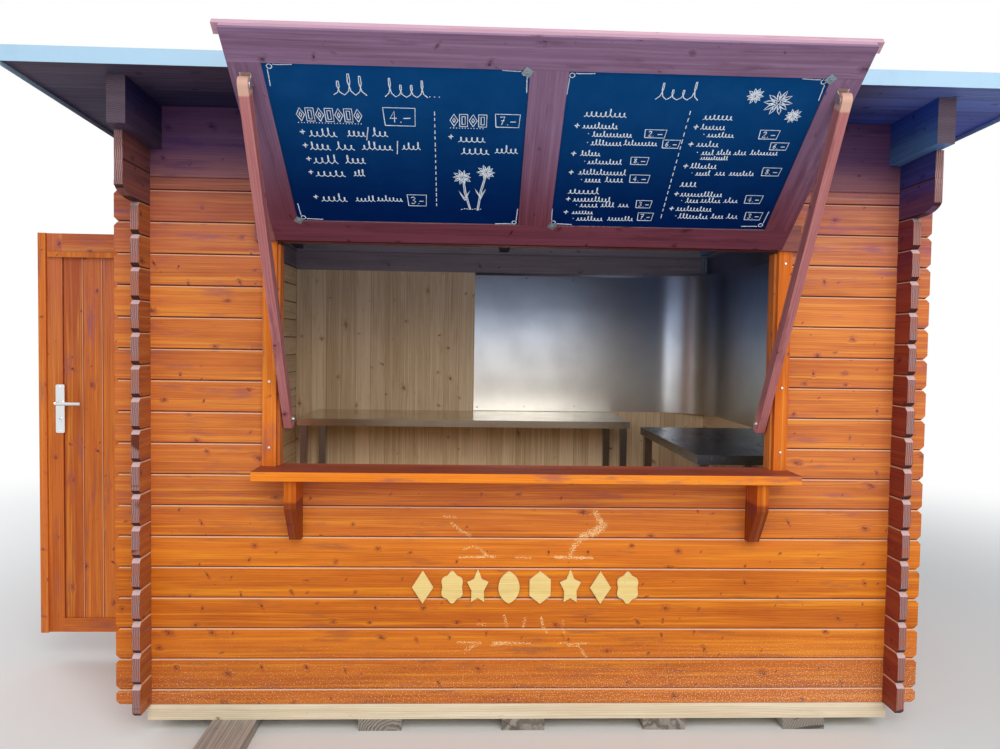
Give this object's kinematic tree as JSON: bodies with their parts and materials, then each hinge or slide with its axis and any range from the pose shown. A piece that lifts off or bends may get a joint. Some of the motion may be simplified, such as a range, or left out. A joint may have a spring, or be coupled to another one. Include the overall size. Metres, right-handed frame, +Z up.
{
  "type": "wooden market hut",
  "caption": "Log-built market hut with a low roof, a propped-up serving hatch with chalkboards, a counter shelf, a side door and steel tables inside.",
  "frame": {"origin": "on the ground, at the middle of the walls' footprint, on the underside of the middle sleeper", "axes": "+X to the right along the front, -Y out of the serving hatch, +Z up"},
  "size_m": [3.7868, 3.3218, 2.3418],
  "materials": {
    "stained_logs": "satin",
    "stained_trim": "satin",
    "flap_brown": "satin",
    "dark_boards": "matt",
    "natural_boards": "matt",
    "raw_beams": "matt",
    "weathered_sleepers": "matt",
    "roof_metal": "satin",
    "chalkboard": "matt",
    "stainless": "brushed",
    "zinc": "satin"
  },
  "bodies": {
    "hut": {"sleepers": "weathered_sleepers", "base_beams": "raw_beams", "floor_joists": "raw_beams", "floor_boards": "natural_boards", "front_wall_lower": "stained_logs", "front_wall_left": "stained_logs", "front_wall_right": "stained_logs", "front_wall_upper": "stained_logs", "back_wall": "stained_logs", "right_wall": "stained_logs", "left_wall_front": "stained_logs", "left_wall_back": "stained_logs", "corbels_left": "stained_logs", "corbels_right": "stained_logs", "front_top_board": "dark_boards", "back_top_board": "dark_boards", "purlins": "stained_logs", "roof_boards": "dark_boards", "roof_sheet": "roof_metal", "roof_trims": "roof_metal", "hatch_lining": "stained_trim", "hatch_casings": "stained_trim", "hatch_head_board": "stained_trim", "counter_shelf": "stained_trim", "shelf_brackets": "stained_trim", "head_hinges": "zinc", "door_frame": "stained_trim", "jamb_hinges": "zinc", "back_lining": "natural_boards", "back_lining_band": "natural_boards", "splash_sheet": "stainless", "back_table_top": "stainless", "back_table_legs": "stainless", "side_table_top": "stainless", "side_table_legs": "stainless"},
    "hatch_flap": {"flap_boards": "flap_brown", "flap_frame": "flap_brown", "chalkboards": "chalkboard", "flap_batten": "flap_brown", "flap_hinges": "zinc", "prop_stays": "zinc"},
    "left_prop": {"prop_left": "stained_trim", "prop_bolt_left": "zinc"},
    "right_prop": {"prop_right": "stained_trim", "prop_bolt_right": "zinc"},
    "side_door": {"door_leaf_frame": "stained_trim", "door_planks": "stained_trim", "door_trim": "stained_trim", "leaf_hinges": "zinc", "door_plates": "zinc"},
    "door_handle": {"door_lever": "zinc"}
  },
  "joints": [
    {"name": "flap_hinge", "type": "hinge", "parent": "hut", "child": "hatch_flap", "pos_m": [0, -1.235, 1.8275], "axis": [1, 0, 0], "range_deg": [0, 127]},
    {"name": "left_prop_pivot", "type": "hinge", "parent": "hatch_flap", "child": "left_prop", "pos_m": [-0.868, -1.79301, 2.17537], "axis": [1, 0, 0], "range_deg": [-13.5, 0]},
    {"name": "right_prop_pivot", "type": "hinge", "parent": "hatch_flap", "child": "right_prop", "pos_m": [0.868, -1.79301, 2.17537], "axis": [1, 0, 0], "range_deg": [-13.5, 0]},
    {"name": "door_hinge", "type": "hinge", "parent": "hut", "child": "side_door", "pos_m": [-1.447, -0.523, 1], "axis": [0, 0, 1], "range_deg": [-90, 60]},
    {"name": "lever_turn", "type": "hinge", "parent": "side_door", "child": "door_handle", "pos_m": [-2.031, -0.523, 1.158], "axis": [0, 1, 0], "range_deg": [0, 38], "stiffness_Nm_per_rad": 2.5, "springref_deg": -14.32}
  ],
  "couplings": [
    {"joint": "left_prop_pivot", "follows": "flap_hinge", "ratio": -0.1024},
    {"joint": "right_prop_pivot", "follows": "flap_hinge", "ratio": -0.1024}
  ]
}
